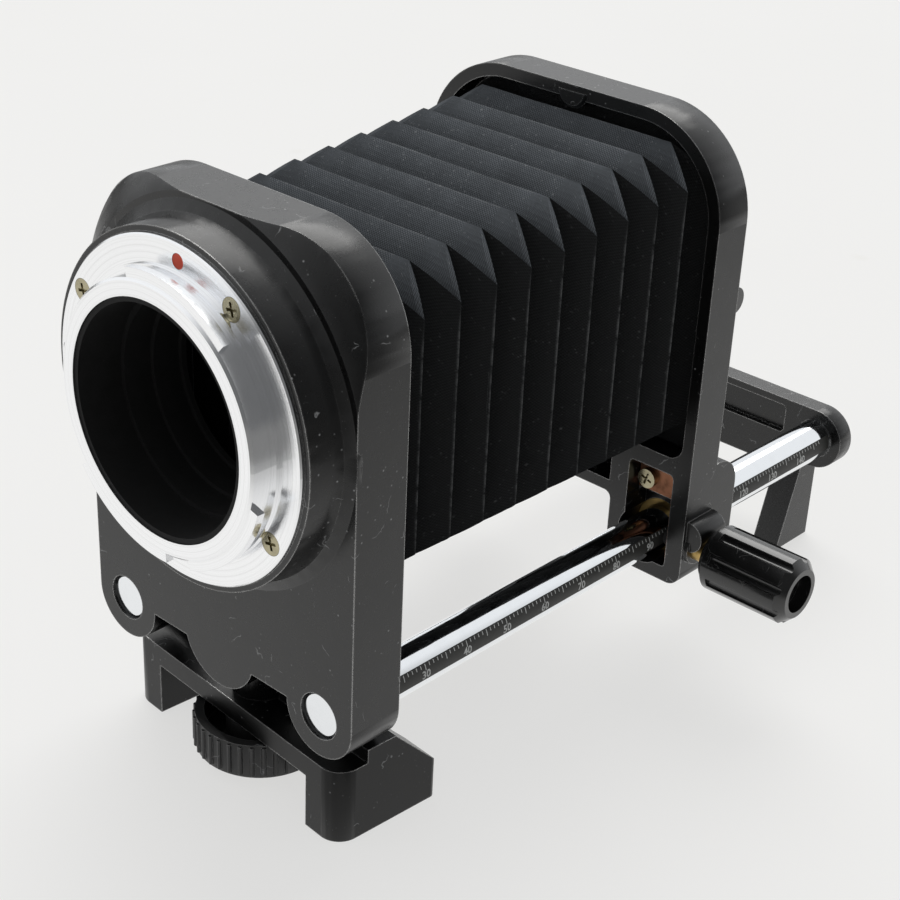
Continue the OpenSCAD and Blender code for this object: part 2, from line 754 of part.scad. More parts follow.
camera_standard();
mount_ring();
mount_screw(0);  // mount_screw_1
mount_screw(1);  // mount_screw_2
mount_screw(2);  // mount_screw_3
mount_screw(3);  // mount_screw_4
index_dot();
light_baffle();
front_retainer();
bellows();
rail(-1);  // rail_left
rail(1);  // rail_right
foot_bracket();
clamp_washer();
clamp_screw();
thumb_wheel();
tripod_insert();
end_block();
end_screw(-1);  // end_screw_left
end_screw(1);  // end_screw_right
lens_standard();
rear_retainer();
lens_mount();
lens_screw(0);  // lens_screw_1
lens_screw(1);  // lens_screw_2
lens_screw(2);  // lens_screw_3
lens_screw(3);  // lens_screw_4
bush(-1);  // bush_left
bush(1);  // bush_right
brake_leaf();
brake_screw();
brake_pad();
lock_screw();
lock_knob();
lock_pin();
release_button();
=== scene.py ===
"""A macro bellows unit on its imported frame.

Adds finishes to the CAD solids, then the pleated cloth, the rail scale and a rim stud, and
last the floor, light and camera. Named lengths are metres, written as millimetres times MM.
"""

import math

import bmesh
import bpy
from mathutils import Matrix, Vector


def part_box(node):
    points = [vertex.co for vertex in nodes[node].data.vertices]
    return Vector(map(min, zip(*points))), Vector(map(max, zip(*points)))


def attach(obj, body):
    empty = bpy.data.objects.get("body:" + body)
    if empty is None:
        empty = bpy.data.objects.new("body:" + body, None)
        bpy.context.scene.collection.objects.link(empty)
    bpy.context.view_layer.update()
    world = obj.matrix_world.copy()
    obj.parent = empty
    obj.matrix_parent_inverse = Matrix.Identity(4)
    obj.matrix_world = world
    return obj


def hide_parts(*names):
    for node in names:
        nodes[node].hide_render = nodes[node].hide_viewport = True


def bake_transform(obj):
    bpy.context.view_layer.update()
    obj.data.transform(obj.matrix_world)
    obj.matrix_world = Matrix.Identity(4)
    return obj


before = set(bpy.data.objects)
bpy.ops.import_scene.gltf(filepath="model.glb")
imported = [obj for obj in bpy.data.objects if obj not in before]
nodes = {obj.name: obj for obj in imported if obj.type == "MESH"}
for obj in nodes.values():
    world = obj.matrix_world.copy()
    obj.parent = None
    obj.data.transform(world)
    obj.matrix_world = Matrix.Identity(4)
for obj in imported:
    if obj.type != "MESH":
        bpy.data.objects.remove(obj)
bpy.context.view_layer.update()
MM = 0.001

# ---- node trees written as expressions ----


def join(tree, value, socket):
    """Links a term to a socket, or sets the socket's own value."""
    if isinstance(value, Term):
        tree.links.new(value.socket, socket)
    else:
        socket.default_value = value


class Term:
    """A socket that takes part in arithmetic: every operator adds its Math node."""

    def __init__(self, tree, socket):
        self.tree, self.socket = tree, socket

    def math(self, operation, *others):
        node = self.tree.nodes.new("ShaderNodeMath")
        node.operation = operation
        for value, socket in zip((self, *others), node.inputs):
            join(self.tree, value, socket)
        return Term(self.tree, node.outputs[0])

    def __add__(self, other):
        return self.math("ADD", other)

    __radd__ = __add__

    def __sub__(self, other):
        return self.math("SUBTRACT", other)

    def __rsub__(self, other):
        return self.math("MULTIPLY_ADD", -1.0, other)

    def __mul__(self, other):
        return self.math("MULTIPLY", other)

    __rmul__ = __mul__

    def __truediv__(self, other):
        return self.math("DIVIDE", other)

    def __mod__(self, other):
        return self.math("FLOORED_MODULO", other)

    def __abs__(self):
        return self.math("ABSOLUTE")


class Tree:
    """Adds nodes to one tree: settings first, then the values or links of the sockets."""

    def __init__(self, tree):
        self.tree = tree

    def add(self, kind, inputs=None, out=0, items=0, **settings):
        node = self.tree.nodes.new(kind)
        for name, value in settings.items():
            setattr(node, name, value)
        for _ in range(items):
            node.index_switch_items.new()
        for key, value in (inputs or {}).items():
            join(self.tree, value, node.inputs[key])
        return Term(self.tree, node.outputs[out])

    def combine(self, x, y, z):
        return self.add("ShaderNodeCombineXYZ", {0: x, 1: y, 2: z})

    def parts(self, vector):
        node = self.add("ShaderNodeSeparateXYZ", {0: vector}).socket.node
        return [Term(self.tree, s) for s in node.outputs]

    def ramp(self, value, low, high, start=0.0, end=1.0):
        """Smooth step of value from low to high."""
        return self.add(
            "ShaderNodeMapRange",
            {0: value, 1: low, 2: high, 3: start, 4: end},
            interpolation_type="SMOOTHSTEP",
        )


class Finish(Tree):
    """One procedural material round a Principled shader; lengths in it are millimetres."""

    def __init__(self, name, **constants):
        self.material = bpy.data.materials.new(name)
        self.material.use_nodes = True
        super().__init__(self.material.node_tree)
        self.tree.nodes.clear()
        shader = self.tree.nodes.new("ShaderNodeBsdfPrincipled")
        output = self.tree.nodes.new("ShaderNodeOutputMaterial")
        self.tree.links.new(shader.outputs[0], output.inputs[0])
        self.shader = shader
        for socket, value in constants.items():
            shader.inputs[socket.replace("_", " ")].default_value = value
        place = self.add("ShaderNodeTexCoord", out=3)
        self.place = self.scaled(place, 1 / MM)

    def scaled(self, vector, by):
        return self.add("ShaderNodeVectorMath", {0: vector, 3: by}, operation="SCALE")

    def stretched(self, vector, by):
        return self.add("ShaderNodeVectorMath", {0: vector, 1: by}, operation="MULTIPLY")

    def noise(self, per_mm, detail=3.0, rough=0.5, place=None, out=0):
        return self.add(
            "ShaderNodeTexNoise",
            {"Vector": place or self.place, "Scale": per_mm, "Detail": detail, "Roughness": rough},
            out=out,
        )

    def specks(self, per_mm, size, place=None, edges=False):
        """1 in small round grains, or along thin cell edges."""
        cells = self.add(
            "ShaderNodeTexVoronoi",
            {"Vector": place or self.place, "Scale": per_mm},
            feature="DISTANCE_TO_EDGE" if edges else "F1",
        )
        return self.ramp(cells, 0.0, size, 1.0, 0.0)

    def warped(self, per_mm, amount, place=None):
        """The place pushed about by a slow noise."""
        push = self.noise(per_mm, 2.0, place=place, out=1)
        return self.add(
            "ShaderNodeVectorMath",
            {0: push, 1: (amount,) * 3, 2: place or self.place},
            operation="MULTIPLY_ADD",
        )

    def blend(self, share, first, second):
        """Colour between first and second."""
        return self.add(
            "ShaderNodeMix", {0: share, 6: first, 7: second}, out=2, data_type="RGBA"
        )

    def edges(self, radius):
        """Above 0 along sharp edges, from how far a normal taken round them turns."""
        soft = self.add("ShaderNodeBevel", {"Radius": radius * MM}, samples=4)
        hard = self.add("ShaderNodeNewGeometry", out=1)
        along = self.add(
            "ShaderNodeVectorMath", {0: soft, 1: hard}, out=1, operation="DOT_PRODUCT"
        )
        return 1 - along

    def bump(self, height, strength, depth):
        return self.add(
            "ShaderNodeBump", {"Strength": strength, "Distance": depth * MM, "Height": height}
        )

    def wear(self, **values):
        """Feeds the shader's varying sockets and returns the material."""
        for socket, value in values.items():
            join(self.tree, value, self.shader.inputs[socket.replace("_", " ")])
        return self.material


def grey(value, warm=0.0):
    return (value * (1 + warm), value, value * (1 - warm), 1.0)


# ---- finishes ----


def enamel(name, base, rough, chips=1.0, dust=1.0, edge_radius=0.45, ior=1.5):
    """Baked black paint on a casting: fine peel, lint, hair scratches and worn edges."""
    f = Finish(name, IOR=ior)
    edge = f.edges(edge_radius)
    patchy = f.noise(0.35, 4.0, 0.6)
    fine = f.noise(2.4, 3.0, 0.6)
    worn = f.ramp(edge * (0.3 + 1.8 * patchy), 0.02, 0.12)
    chipped = f.ramp(edge * f.noise(1.4, 3.0, 0.7), 0.075 / chips, 0.11 / chips)
    lint = f.specks(0.6, 0.15) * f.ramp(f.noise(0.12, 2.0), 0.5, 0.6) * dust
    grain = f.specks(1.5, 0.16) * f.ramp(f.noise(0.3, 2.0), 0.5, 0.62) * dust
    hair = (
        f.specks(0.11, 0.011, f.warped(0.35, 3.5), edges=True)
        * f.ramp(f.noise(0.19, 2.0), 0.60, 0.64)
    )
    marks = (lint * 0.8 + grain * 0.35 + hair * 0.55).math("MINIMUM", 1.0)
    colour = f.blend(patchy, grey(base * 0.8), grey(base * 1.25))
    colour = f.blend(worn * 0.6, colour, grey(0.085))
    colour = f.blend(marks, colour, grey(0.40, -0.01))
    colour = f.blend(chipped, colour, grey(0.45, 0.01))
    height = fine * 0.5 + patchy * 0.3 + lint * 0.8 - chipped * 1.2
    return f.wear(
        Base_Color=colour,
        Roughness=rough + 0.14 * (patchy - 0.5) + 0.1 * fine - 0.08 * worn + 0.2 * marks,
        Metallic=chipped * 0.8,
        Normal=f.bump(height, 0.35, 0.06),
    )


def matte_lining(name, base):
    """Dead black paint of the light path."""
    f = Finish(name, IOR=1.4)
    fine = f.noise(3.0, 4.0, 0.7)
    lint = f.specks(0.6, 0.05) * f.ramp(f.noise(0.15), 0.52, 0.66)
    colour = f.blend(f.noise(0.5), grey(base * 0.7), grey(base * 1.3))
    return f.wear(
        Base_Color=f.blend(lint * 0.5, colour, grey(0.2)),
        Roughness=0.68 + 0.2 * fine,
        Normal=f.bump(fine, 0.4, 0.05),
    )


def gloss_plastic(name, base, rough):
    """Moulded black plastic, polished by handling."""
    f = Finish(name, IOR=1.52, Coat_Roughness=0.08)
    edge = f.edges(0.35)
    cloudy = f.noise(0.3, 3.0)
    scuffs = f.specks(0.22, 0.012, f.warped(0.4, 1.5), edges=True) * f.ramp(
        f.noise(0.25), 0.52, 0.66
    )
    worn = f.ramp(edge * (0.5 + f.noise(1.2)), 0.12, 0.4)
    colour = f.blend(cloudy, grey(base * 0.8), grey(base * 1.3))
    colour = f.blend(worn * 0.5, colour, grey(0.11))
    return f.wear(
        Base_Color=f.blend(scuffs * 0.4, colour, grey(0.16)),
        Roughness=rough + 0.1 * cloudy + 0.25 * scuffs + 0.12 * worn,
        Coat_Weight=0.35 - 0.3 * scuffs,
        Normal=f.bump(f.noise(1.4) * 0.6 - scuffs, 0.2, 0.04),
    )


def turned_metal(name, tint, rough, lines=1.0):
    """Metal faced on a lathe about the optical axis: fine tool marks and a few bolder ones."""
    f = Finish(name, Metallic=1.0)
    x, _, z = f.parts(f.place)
    reach = (x * x + z * z).math("SQRT")
    along = f.combine(reach, 0.0, 0.0)
    tool = f.noise(9.0, 4.0, 0.75, along)
    bold = f.noise(2.2, 3.0, 0.7, along)
    smear = f.noise(0.25, 3.0)
    edge = f.edges(0.25)
    nicks = f.specks(0.35, 0.03) * f.ramp(f.noise(0.2), 0.55, 0.68)
    colour = f.blend(smear, [c * 0.96 for c in tint[:3]] + [1.0], tint)
    colour = f.blend(f.ramp(bold, 0.46, 0.66) * 0.3 * lines, colour, grey(0.6))
    colour = f.blend(f.ramp(edge, 0.1, 0.5) * 0.3 + nicks * 0.5, colour, grey(0.55))
    return f.wear(
        Base_Color=colour,
        Roughness=rough + 0.12 * (tool - 0.5) + 0.1 * (smear - 0.4) + 0.2 * nicks,
        Normal=f.bump(tool * 0.6 + bold * 1.2, 0.36 * lines, 0.03),
    )


def polished_metal(name, tint, rough, grain=(1.0, 0.04, 1.0), tarnish=0.1):
    """Plated or bare metal with a fine grain, smudges and darker tarnish."""
    f = Finish(name, Metallic=1.0)
    drawn = f.noise(3.2, 3.0, 0.6, f.stretched(f.place, grain))
    smudge = f.noise(0.28, 3.0, 0.6)
    pits = f.specks(0.8, 0.05) * f.ramp(f.noise(0.22), 0.56, 0.7)
    dark = [c * 0.45 for c in tint[:3]] + [1.0]
    colour = f.blend(f.ramp(smudge, 0.45, 0.8) * tarnish * 2 + pits * 0.5, tint, dark)
    return f.wear(
        Base_Color=colour,
        Roughness=rough + 0.1 * drawn * (rough + 0.4) + 0.12 * smudge * tarnish + 0.3 * pits,
        Normal=f.bump(drawn - pits, 0.12, 0.02),
    )


THREAD_PITCH = 0.52  # one warp and weft thread, in millimetres


def thread_cloth(name, mounted=False):
    """Black book cloth: crossed threads, lint caught in the weave and outer creases rubbed grey."""
    f = Finish(
        name,
        Sheen_Weight=0.16,
        Sheen_Roughness=0.4,
        Sheen_Tint=(0.8, 0.88, 1.0, 1.0),
        Specular_IOR_Level=0.3,
    )
    if mounted:  # the cloth's glued border lies flat across the optical axis
        x, _, z = f.parts(f.place)
        uv = f.combine(x, z, 0.0)
    else:
        uv = f.scaled(f.add("ShaderNodeUVMap", uv_map="UVMap"), 1 / MM)
    across, along, _ = f.parts(f.warped(0.25, 0.5, uv))
    turn = 2 * math.pi / THREAD_PITCH
    warp = (across * turn).math("SINE")
    weft = (along * turn).math("SINE")
    over = (warp * weft).math("MULTIPLY_ADD", 0.5, 0.5)
    slub = f.noise(1.0, 3.0, 0.7, f.stretched(uv, (0.35, 1.6, 1.0)))
    slubs = f.noise(1.0, 3.0, 0.7, f.stretched(uv, (1.6, 0.35, 1.0)))
    ridge = f.add("ShaderNodeAttribute", out=2, attribute_name="ridge")
    rubbed = f.ramp(ridge, 0.35, 1.0) * f.ramp(f.noise(0.5, 4.0, 0.7), 0.3, 0.62)
    lint = f.specks(1.1, 0.26, uv) * f.ramp(f.noise(0.4, 2.0, 0.5, uv), 0.44, 0.56)
    fluff = f.specks(0.33, 0.11, uv) * f.ramp(f.noise(0.2, 2.0, 0.5, uv), 0.46, 0.54)
    up = f.parts(f.add("ShaderNodeNewGeometry", out=1))[2]
    outside = f.ramp(f.parts(f.place)[2], -14.0, -4.0)  # low faces that look up are inside
    # up-facing outer cloth turns pale: partly dust, partly painted light falling from above
    dust_and_top_light = f.ramp(up, 0.25, 0.95) * (0.5 + 0.9 * f.noise(0.16, 4.0, 0.7)) * outside
    colour = f.blend(over * 0.7 + slub * 0.4, grey(0.0035), (0.0185, 0.0195, 0.0205, 1.0))
    # painted top light and dust: up-facing cloth blended toward a pale blue-grey
    colour = f.blend(dust_and_top_light * (0.2 + 0.6 * over), colour, (0.32, 0.35, 0.385, 1.0))
    colour = f.blend(rubbed * 0.4, colour, (0.24, 0.245, 0.25, 1.0))
    fallen = lint * (0.07 + 0.6 * dust_and_top_light) + fluff * (0.16 + 0.7 * dust_and_top_light)
    colour = f.blend(fallen.math("MINIMUM", 1.0), colour, grey(0.45, -0.02))
    height = over * 0.8 + (slub + slubs) * 0.5 + lint
    return f.wear(
        Base_Color=colour,
        Roughness=0.82 + 0.14 * slub - 0.2 * rubbed,
        Normal=f.bump(height, 0.5, 0.09),
    )


def paint_fill(name, colour, rough):
    """Paint laid in or printed on metal, slightly uneven and rubbed."""
    f = Finish(name, IOR=1.45)
    patchy = f.noise(1.1, 3.0, 0.6)
    rubbed = f.specks(1.3, 0.09) * f.ramp(f.noise(0.6), 0.5, 0.7)
    dull = [c * 0.72 for c in colour[:3]] + [1.0]
    tone = f.blend(patchy, dull, colour)
    return f.wear(
        Base_Color=f.blend(rubbed * 0.35, tone, grey(0.3)),
        Roughness=rough + 0.2 * patchy,
        Normal=f.bump(patchy, 0.25, 0.02),
    )


def seen_rays(form):
    """1 for camera, for glossy and for transmission rays."""
    rays = form.add("ShaderNodeLightPath").socket.node
    names = ("Is Camera Ray", "Is Glossy Ray", "Is Transmission Ray")
    return [Term(form.tree, rays.outputs[name]) for name in names]


# the board's own paleness, and the share of it in direct sight and in reflections
PALE_LEVEL, PALE_SEEN, PALE_MIRRORED = 1.08, 0.68, 0.9


def table_top(name):
    """Pale board under the object, with faint marks; the rest of what it shows is lit."""
    f = Finish(name, Roughness=0.75, Specular_IOR_Level=0.2)
    soft = f.noise(0.004, 3.0, 0.5)
    spots = f.specks(0.022, 0.09, f.warped(0.05, 6.0)) * f.ramp(f.noise(0.012), 0.5, 0.6)
    colour = f.blend(soft, (0.845, 0.842, 0.83, 1.0), (0.885, 0.883, 0.875, 1.0))
    colour = f.blend(spots * 0.12, colour, (0.70, 0.67, 0.56, 1.0))
    f.wear(Base_Color=colour, Roughness=0.7 + 0.1 * soft)
    camera_ray, glossy_ray, glass_ray = seen_rays(f)
    x, y, _ = f.parts(f.place)
    # painted darker reflections: the board's glow is dimmed for glossy rays only, far off and on
    # the right
    far = f.ramp((x * x + y * y).math("SQRT"), 260.0, 700.0)
    aside = f.ramp(x - 0.45 * y, 45.0, 240.0)
    glow_dimmed_in_reflections = far.math("MAXIMUM", aside)
    pale = f.add(
        "ShaderNodeEmission",
        {"Color": colour, "Strength": PALE_LEVEL - glow_dimmed_in_reflections * glossy_ray * 0.9},
    )
    lit = Term(f.tree, f.shader.outputs[0])
    share = camera_ray * PALE_SEEN + glossy_ray * PALE_MIRRORED + glass_ray * PALE_SEEN
    share = share.math("MINIMUM", PALE_MIRRORED)
    shown = f.add("ShaderNodeMixShader", {0: share, 1: lit, 2: pale})
    f.tree.links.new(shown.socket, f.tree.nodes["Material Output"].inputs[0])
    return f.material


cast_enamel = enamel("cast_enamel", 0.0045, 0.24)
frame_enamel = enamel("frame_enamel", 0.0045, 0.25, chips=0.8)
foot_enamel = enamel("foot_enamel", 0.004, 0.27, chips=0.7, dust=0.7, ior=1.34)
wheel_enamel = enamel("wheel_enamel", 0.010, 0.40, chips=0.5, dust=0.6, edge_radius=0.25)
block_enamel = enamel("block_enamel", 0.005, 0.22, chips=0.8)
clip_black = matte_lining("clip_black", 0.016)
lining = matte_lining("lining", 0.010)
knob_plastic = gloss_plastic("knob_plastic", 0.008, 0.16)
button_plastic = gloss_plastic("button_plastic", 0.012, 0.2)
ring_bright = turned_metal("ring_bright", (0.985, 0.99, 1.0, 1.0), 0.17, 0.8)
lens_ring_bright = turned_metal("lens_ring_bright", (0.92, 0.92, 0.92, 1.0), 0.2)
rail_chrome = polished_metal("rail_chrome", (0.86, 0.88, 0.90, 1.0), 0.05, tarnish=0.03)
screw_nickel = polished_metal("screw_nickel", (0.44, 0.40, 0.27, 1.0), 0.2, (1, 1, 1), 0.4)
screw_steel = polished_metal("screw_steel", (0.70, 0.69, 0.66, 1.0), 0.2, (1, 1, 1), 0.2)
bush_brass = polished_metal("bush_brass", (0.55, 0.38, 0.14, 1.0), 0.27, (1, 1, 1), 0.4)
leaf_copper = polished_metal("leaf_copper", (0.36, 0.165, 0.095, 1.0), 0.34, (0.2, 1, 1), 0.5)
felt_pad = matte_lining("felt_pad", 0.03)
dot_red = paint_fill("dot_red", (0.85, 0.085, 0.035, 1.0), 0.35)
scale_black = paint_fill("scale_black", (0.040, 0.040, 0.037, 1.0), 0.42)
scale_white = paint_fill("scale_white", (0.66, 0.67, 0.66, 1.0), 0.5)
bellows_cloth = thread_cloth("bellows_cloth")
border_cloth = thread_cloth("border_cloth", mounted=True)
table_finish = table_top("table_finish")

NODE_FINISH = {
    "camera_standard": cast_enamel,
    "lens_standard": frame_enamel,
    "foot_bracket": foot_enamel,
    "end_block": block_enamel,
    "thumb_wheel": wheel_enamel,
    "front_retainer": clip_black,
    "rear_retainer": border_cloth,
    "light_baffle": lining,
    "lock_knob": knob_plastic,
    "release_button": button_plastic,
    "mount_ring": ring_bright,
    "lens_mount": lens_ring_bright,
    "rail_left": rail_chrome,
    "rail_right": rail_chrome,
    "index_dot": dot_red,
    "bush_left": bush_brass,
    "bush_right": bush_brass,
    "lock_screw": bush_brass,
    "tripod_insert": bush_brass,
    "brake_leaf": leaf_copper,
    "brake_pad": felt_pad,
    "brake_screw": screw_nickel,
    "lock_pin": screw_steel,
    "clamp_screw": screw_steel,
    "clamp_washer": screw_steel,
    "end_screw_left": screw_steel,
    "end_screw_right": screw_steel,
    **{f"mount_screw_{i}": screw_nickel for i in range(1, 5)},
    **{f"lens_screw_{i}": screw_steel for i in range(1, 5)},
}


def dress(node, finish):
    """Gives a CAD node its finish in every material slot."""
    slots = node.material_slots
    if not slots:
        node.data.materials.append(finish)
    for slot in slots:
        slot.material = finish


for name, finish in NODE_FINISH.items():
    dress(nodes[name], finish)


EASED_SEGMENTS = 2
EASED_ANGLE = math.radians(32)


def ease_edges(name, width):
    """Rounds a casting's edges by a width in millimetres, once its triangles are joined."""
    node = nodes[name]
    weld = node.modifiers.new("weld", "WELD")
    weld.merge_threshold = 2e-6
    soft = node.modifiers.new("eased_edges", "BEVEL")
    soft.width = width * MM
    soft.segments = EASED_SEGMENTS
    soft.limit_method = "ANGLE"
    soft.angle_limit = EASED_ANGLE
    soft.use_clamp_overlap = True
    soft.harden_normals = True


for name, width in {
    "camera_standard": 0.35,
    "lens_standard": 0.35,
    "foot_bracket": 0.4,
    "end_block": 0.4,
    "thumb_wheel": 0.15,
}.items():
    ease_edges(name, width)

# ---- pieces ----


def piece(name, mesh, body, finish=None):
    """A finished mesh as a piece that rides on a body."""
    made = bpy.data.objects.new(name, mesh)
    bpy.context.scene.collection.objects.link(made)
    if finish:
        mesh.materials.clear()
        mesh.materials.append(finish)
    if body:
        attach(made, body)
    return made


def from_tree(name, tree, values, thickness):
    """Runs a geometry tree on an empty mesh, walls it inward and returns the plain mesh."""
    carrier = bpy.data.objects.new(name + "_carrier", bpy.data.meshes.new(name + "_seed"))
    bpy.context.scene.collection.objects.link(carrier)
    modifier = carrier.modifiers.new("form", "NODES")
    modifier.node_group = tree
    sockets = {s.name: s.identifier for s in tree.interface.items_tree if s.in_out == "INPUT"}
    for key, value in values.items():
        modifier[sockets[key]] = value
    wall = carrier.modifiers.new("wall", "SOLIDIFY")
    wall.thickness = thickness
    wall.offset = -1.0
    evaluated = carrier.evaluated_get(bpy.context.evaluated_depsgraph_get())
    mesh = bpy.data.meshes.new_from_object(evaluated)
    mesh.name = name
    carrier.modifiers.clear()
    bpy.data.objects.remove(carrier)
    return mesh


def new_form(name, inputs):
    """A geometry tree with named inputs and one output."""
    tree = bpy.data.node_groups.new(name, "GeometryNodeTree")
    kinds = {float: "NodeSocketFloat", int: "NodeSocketInt", str: "NodeSocketMaterial"}
    for label, kind in inputs.items():
        tree.interface.new_socket(label, in_out="INPUT", socket_type=kinds[kind])
    tree.interface.new_socket("Geometry", in_out="OUTPUT", socket_type="NodeSocketGeometry")
    entry = tree.nodes.new("NodeGroupInput")
    form = Tree(tree)
    return form, {label: Term(tree, entry.outputs[label]) for label in inputs}


def close_form(form, geometry, material):
    """Ends a tree in Realize Instances and Set Material."""
    real = form.add("GeometryNodeRealizeInstances", {0: geometry})
    dressed = form.add("GeometryNodeSetMaterial", {"Geometry": real, "Material": material})
    leave = form.tree.nodes.new("NodeGroupOutput")
    form.tree.links.new(dressed.socket, leave.inputs[0])
    return form.tree


# The bellows. Rings of eight corners stand one fold apart; in odd rings the top and bottom
# stand out and the sides are drawn in, and in even rings it is the other way round.
CLOTH = {
    "Folds": 20,
    "Across": 8,
    "Along": 10,
    "Front": 16.5 * MM,
    "Back": 94.8 * MM,
    "Side Ridge": 28.0 * MM,
    "Side Valley": 20.8 * MM,
    "Flare": 0.8 * MM,
    "Top": 22.8 * MM,
    "Rise": 6.4 * MM,
    "Low": 28.0 * MM,
    "Pleat Depth": 4.7 * MM,
    "Edge Drop": 5.8 * MM,
    "Top Straight": 17.5 * MM,
    "Belly": 0.22 * MM,
    "Slack": 0.30 * MM,
}
CORNERS = 8
CLOTH_WALL = 0.45 * MM
# cloth between one corner and the next, and along one fold, in millimetres: the weave only
EDGE_LENGTHS = (45.0, 11.0, 35.0, 11.0) * 2
FOLD_LENGTH = 6.2
CREASE_SHARE = 0.16


def bellows_form():
    """The folded cloth as one open tube, bent from a flat grid of loops and folds."""
    kinds = {k: type(v) for k, v in CLOTH.items()}
    form, size = new_form("pleated_cloth", {**kinds, "Cloth": str})

    def pick(index, values):
        return form.add(
            "GeometryNodeIndexSwitch",
            {0: index, **{i + 1: float(v) for i, v in enumerate(values)}},
            items=len(values) - 2,
            data_type="FLOAT",
        )

    grid = form.add(
        "GeometryNodeMeshGrid",
        {
            "Size X": 1.0,
            "Size Y": 1.0,
            "Vertices X": size["Across"] * CORNERS + 1,
            "Vertices Y": size["Along"] * size["Folds"] + 1,
        },
    )
    x, y, _ = form.parts(form.add("GeometryNodeInputPosition"))
    keep = grid
    places = {"loop_place": (x + 0.5) * CORNERS, "fold_place": (y + 0.5) * size["Folds"]}
    for label, value in places.items():
        keep = form.add(
            "GeometryNodeStoreNamedAttribute",
            {"Geometry": keep, "Name": label, "Value": value},
            data_type="FLOAT",
            domain="POINT",
        )
    loop = form.add("GeometryNodeInputNamedAttribute", {"Name": "loop_place"}, data_type="FLOAT")
    fold = form.add("GeometryNodeInputNamedAttribute", {"Name": "fold_place"}, data_type="FLOAT")
    edge = loop.math("MINIMUM", CORNERS - 0.001).math("FLOOR")
    part = loop - edge
    ring = fold.math("MINIMUM", size["Folds"] - 0.001).math("FLOOR")
    step = fold - ring
    step = step * step * (3 - 2 * step)  # closer rows beside a crease

    def corner(ring, index):
        index = index % CORNERS
        even = 1 - ring % 2
        way = ring / size["Folds"]
        flare = size["Flare"] * way
        side = size["Side Valley"] + (size["Side Ridge"] - size["Side Valley"]) * even + flare
        top = size["Top Straight"] + flare
        high = size["Top"] + size["Rise"] * way
        wide = pick(index, (1, 1, 0, 0, 1, 1, 0, 0))
        right = pick(index, (1, 1, 1, -1, -1, -1, -1, 1))
        upper = pick(index, (-1, 1, 1, 1, 1, -1, -1, -1))
        tuck = even * (size["Pleat Depth"] + wide * (size["Edge Drop"] - size["Pleat Depth"]))
        middle = (high - size["Low"]) * 0.5
        half = (high + size["Low"]) * 0.5
        return right * (top + wide * (side - top)), middle + upper * (half - tuck)

    def between(share, a, b):
        return a + (b - a) * share

    rows = []
    for each in (ring, ring + 1):
        pairs = zip(corner(each, edge), corner(each, edge + 1))
        rows.append([between(part, a, b) for a, b in pairs])
    where = form.combine(
        between(step, rows[0][0], rows[1][0]),
        size["Front"] + (size["Back"] - size["Front"]) * (ring + step) / size["Folds"],
        between(step, rows[0][1], rows[1][1]),
    )
    starts = [sum(EDGE_LENGTHS[:i]) for i in range(CORNERS)]
    around = (pick(edge, starts) + part * pick(edge, EDGE_LENGTHS)) * MM
    weave = form.combine(around, (ring + step) * (FOLD_LENGTH * MM), 0.0)
    keep = form.add(
        "GeometryNodeStoreNamedAttribute",
        {"Geometry": keep, "Name": "UVMap", "Value": weave},
        data_type="FLOAT2",
        domain="CORNER",
    )
    # creases that stand out: odd rings on the top and bottom, even ones on the sides
    at_crease = 1 - (abs(step - 0.5) * -2 + 1).math("MINIMUM", CREASE_SHARE) / CREASE_SHARE
    nearest = (ring + step + 0.5).math("FLOOR")
    wide_edge = pick(edge, (1, 0.5, 0, 0.5, 1, 0.5, 0, 0.5))
    odd = nearest % 2
    stands = odd * (1 - wide_edge) + (1 - odd) * wide_edge
    keep = form.add(
        "GeometryNodeStoreNamedAttribute",
        {"Geometry": keep, "Name": "ridge", "Value": at_crease * stands},
        data_type="FLOAT",
        domain="POINT",
    )
    keep = form.add("GeometryNodeSetPosition", {"Geometry": keep, "Position": where})
    joined = form.add("GeometryNodeMergeByDistance", {"Geometry": keep, "Distance": 0.02 * MM})
    joined = form.add("GeometryNodeFlipFaces", {0: joined})  # bent, the grid looks inward
    # cloth bellies between creases and is never quite flat
    uneven = form.add(
        "ShaderNodeTexNoise",
        {"Vector": form.add("GeometryNodeInputPosition"), "Scale": 90.0, "Detail": 2.0},
    )
    ends = (fold * (size["Folds"] - fold) * 0.5).math("MINIMUM", 1.0)
    depth = (step * (1 - step) * 4) * size["Belly"] + (uneven - 0.5) * size["Slack"] * ends
    push = form.add(
        "ShaderNodeVectorMath",
        {0: form.add("GeometryNodeInputNormal"), 3: depth},
        operation="SCALE",
    )
    bellied = form.add("GeometryNodeSetPosition", {"Geometry": joined, "Offset": push})
    smooth = form.add("GeometryNodeSetShadeSmooth", {"Geometry": bellied, "Shade Smooth": False})
    return close_form(form, smooth, size["Cloth"])


def face_outward(mesh):
    """Turns a closed shell's faces outward if its signed volume is negative."""
    shell = bmesh.new()
    shell.from_mesh(mesh)
    if shell.calc_volume(signed=True) < 0:
        bmesh.ops.reverse_faces(shell, faces=shell.faces)
    shell.to_mesh(mesh)
    shell.free()


cloth_mesh = from_tree(
    "bellows_folded_cloth", bellows_form(), {**CLOTH, "Cloth": bellows_cloth}, thickness=CLOTH_WALL
)
face_outward(cloth_mesh)
cloth = piece("bellows_folded_cloth", cloth_mesh, None)
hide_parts("bellows")
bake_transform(cloth)

# The scale on the right rail: a printed band, graduations and numbers in millimetres.
RAIL = Vector((24.0, 0.0, -47.0)) * MM
RAIL_R = 4.0 * MM
SCALE_ZERO = -1.8 * MM
SCALE_FIRST, SCALE_LAST = 22, 147
BAND_TOP, BAND_LOW = math.radians(34), math.radians(-10)
TICK_TOP, LABEL_MIDDLE = math.radians(31), math.radians(5)
LABEL_HEIGHT = 1.5 * MM
BAND_LIFT, INK_LIFT = 0.014 * MM, 0.03 * MM  # above the rail's surface
BAND_WALL, INK_WALL = 0.012 * MM, 0.014 * MM
BAND_INSET, BAND_END = 12 * MM, 148.6 * MM


